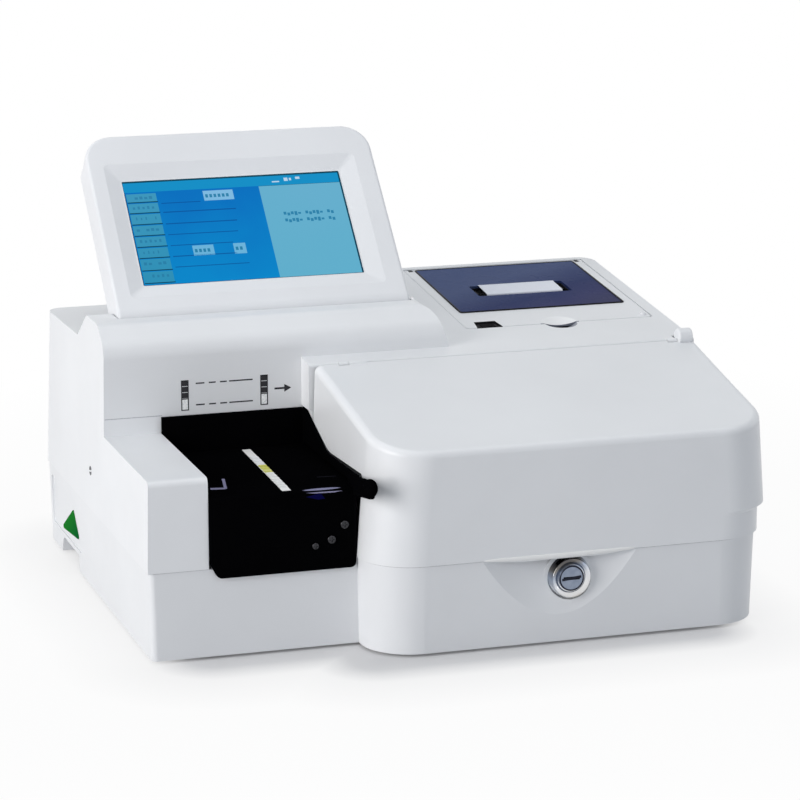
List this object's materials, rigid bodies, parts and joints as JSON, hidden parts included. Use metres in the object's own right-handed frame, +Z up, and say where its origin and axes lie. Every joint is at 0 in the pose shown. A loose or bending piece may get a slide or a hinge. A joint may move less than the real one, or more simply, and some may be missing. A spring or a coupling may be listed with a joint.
{
  "type": "urine analyzer",
  "caption": "Bench-top urine strip analyzer: tilting screen pod, black strip tray, hinged reader cover with key lock, and a built-in paper printer with its own door.",
  "frame": {"origin": "on the bench, under the middle of the analyser's overall bounding box", "axes": "+Z up, +X to the operator's right along the width, +Y from the operator's side to the back"},
  "size_m": [0.413, 0.3583, 0.2947],
  "materials": {
    "shell_white": "satin moulded",
    "cover_white": "satin moulded",
    "pod_white": "satin moulded",
    "tray_black": "semi-gloss",
    "frame_black": "matt moulded",
    "deck_grey": "matt moulded",
    "panel_indigo": "gloss",
    "screen_glass": "glossy",
    "lamp_clear": "glossy",
    "latch_grey": "matt",
    "chrome": "polished",
    "steel": "plain",
    "sheet_steel": "zinc plated",
    "cast_alloy": "anodised",
    "rubber_black": "matt",
    "board_green": "solder mask",
    "chip_black": "matt",
    "paper_white": "matt",
    "strip_white": "satin",
    "pad_yellow": "matt",
    "window_green": "gloss",
    "bin_white": "matt",
    "core_card": "matt",
    "port_metal": "nickel plated",
    "lens_clear": "clear"
  },
  "bodies": {
    "housing": {"lower_housing": "shell_white", "upper_housing": "shell_white", "rubber_feet": "rubber_black", "chassis_plate": "sheet_steel", "housing_screws": "steel", "side_screw": "latch_grey", "side_window": "window_green", "rear_panel": "shell_white", "power_inlet": "frame_black", "rocker_frame": "frame_black", "data_ports": "port_metal", "main_board": "board_green", "board_components": "chip_black", "power_supply": "sheet_steel", "cover_hinge_pins": "steel", "lock_barrel": "chrome", "lock_nut": "steel", "printer_frame": "frame_black", "door_hinge_pin": "steel", "thermal_head": "cast_alloy", "paper_tail": "paper_white", "tray_rails": "frame_black", "inner_deck": "deck_grey", "guide_rods": "steel", "rod_brackets": "cast_alloy", "scan_motor": "steel", "idler_post": "steel", "scan_belt": "rubber_black", "carrier_rail": "steel"},
    "flip_cover": {"flip_cover": "cover_white", "cover_catch": "steel"},
    "lock": {"lock_plug": "chrome", "lock_cam": "steel"},
    "display": {"display_bezel": "pod_white", "display_back_shell": "pod_white", "lcd_panel": "screen_glass", "display_board": "board_green", "display_hinge_pins": "steel", "pod_screws": "steel"},
    "printer_door": {"printer_door": "shell_white", "door_panel": "panel_indigo", "door_lamp": "lamp_clear"},
    "door_latch": {"door_latch": "latch_grey"},
    "platen": {"platen_roller": "rubber_black"},
    "paper_roll": {"paper_roll": "paper_white", "roll_core": "core_card"},
    "strip_tray": {"strip_tray": "tray_black", "tray_apron": "tray_black", "tray_screws": "steel", "tray_guard": "tray_black"},
    "test_strip": {"test_strip": "strip_white", "reagent_pads": "pad_yellow"},
    "scan_head": {"optical_head": "frame_black", "head_lens": "lens_clear"},
    "drive_pulley": {"drive_pulley": "cast_alloy"},
    "idler_pulley": {"idler_pulley": "cast_alloy"},
    "strip_carrier": {"strip_carrier": "frame_black"},
    "waste_bin": {"waste_bin": "bin_white"},
    "power_rocker": {"power_rocker": "chip_black"}
  },
  "joints": [
    {"name": "flip_cover_hinge", "type": "hinge", "parent": "housing", "child": "flip_cover", "pos_m": [0.06, -0.03181, 0.1606], "axis": [-1, 0, 0], "range_deg": [0, 80]},
    {"name": "lock_turn", "type": "hinge", "parent": "housing", "child": "lock", "pos_m": [0.0625, -0.14791, 0.043], "axis": [0, 1, 0], "range_deg": [0, 90]},
    {"name": "display_tilt", "type": "hinge", "parent": "housing", "child": "display", "pos_m": [-0.0845, 0.03469, 0.1852], "axis": [-1, 0, 0], "range_deg": [-15, 43]},
    {"name": "printer_door_hinge", "type": "hinge", "parent": "housing", "child": "printer_door", "pos_m": [0.1255, 0.16148, 0.17921], "axis": [-1, 0, 0], "range_deg": [0, 75]},
    {"name": "door_latch_slide", "type": "slide", "parent": "printer_door", "child": "door_latch", "axis": [0, 0.9948, 0.1023], "range_m": [0, 0.003], "stiffness_N_per_m": 120, "springref_m": -0.001},
    {"name": "platen_spin", "type": "hinge", "parent": "printer_door", "child": "platen", "pos_m": [0.1255, 0.08727, 0.16474], "axis": [1, 0, 0], "continuous": true},
    {"name": "paper_roll_spin", "type": "hinge", "parent": "housing", "child": "paper_roll", "pos_m": [0.1255, 0.13677, 0.14772], "axis": [1, 0, 0], "continuous": true},
    {"name": "tray_slide", "type": "slide", "parent": "housing", "child": "strip_tray", "axis": [0, -1, 0], "range_m": [0, 0.11]},
    {"name": "strip_feed", "type": "slide", "parent": "strip_tray", "child": "test_strip", "axis": [1, 0, 0], "range_m": [-0.03, 0.045]},
    {"name": "head_scan", "type": "slide", "parent": "housing", "child": "scan_head", "axis": [0, 1, 0], "range_m": [-0.03, 0.03]},
    {"name": "drive_pulley_spin", "type": "hinge", "parent": "housing", "child": "drive_pulley", "pos_m": [0.0168, -0.04831, 0.11], "axis": [0, 0, 1], "range_deg": [-220, 220]},
    {"name": "idler_pulley_spin", "type": "hinge", "parent": "housing", "child": "idler_pulley", "pos_m": [0.0168, -0.14431, 0.11], "axis": [0, 0, 1], "range_deg": [-220, 220]},
    {"name": "carrier_feed", "type": "slide", "parent": "housing", "child": "strip_carrier", "axis": [1, 0, 0], "range_m": [0, 0.12]},
    {"name": "bin_lift", "type": "slide", "parent": "housing", "child": "waste_bin", "axis": [0, 0, 1], "range_m": [0, 0.022]},
    {"name": "power_rocker_tilt", "type": "hinge", "parent": "housing", "child": "power_rocker", "pos_m": [0.0905, 0.17219, 0.042], "axis": [-1, 0, 0], "range_deg": [0, 13]}
  ],
  "couplings": [
    {"joint": "drive_pulley_spin", "follows": "head_scan", "rad_per_m": -125},
    {"joint": "idler_pulley_spin", "follows": "head_scan", "rad_per_m": -125}
  ]
}
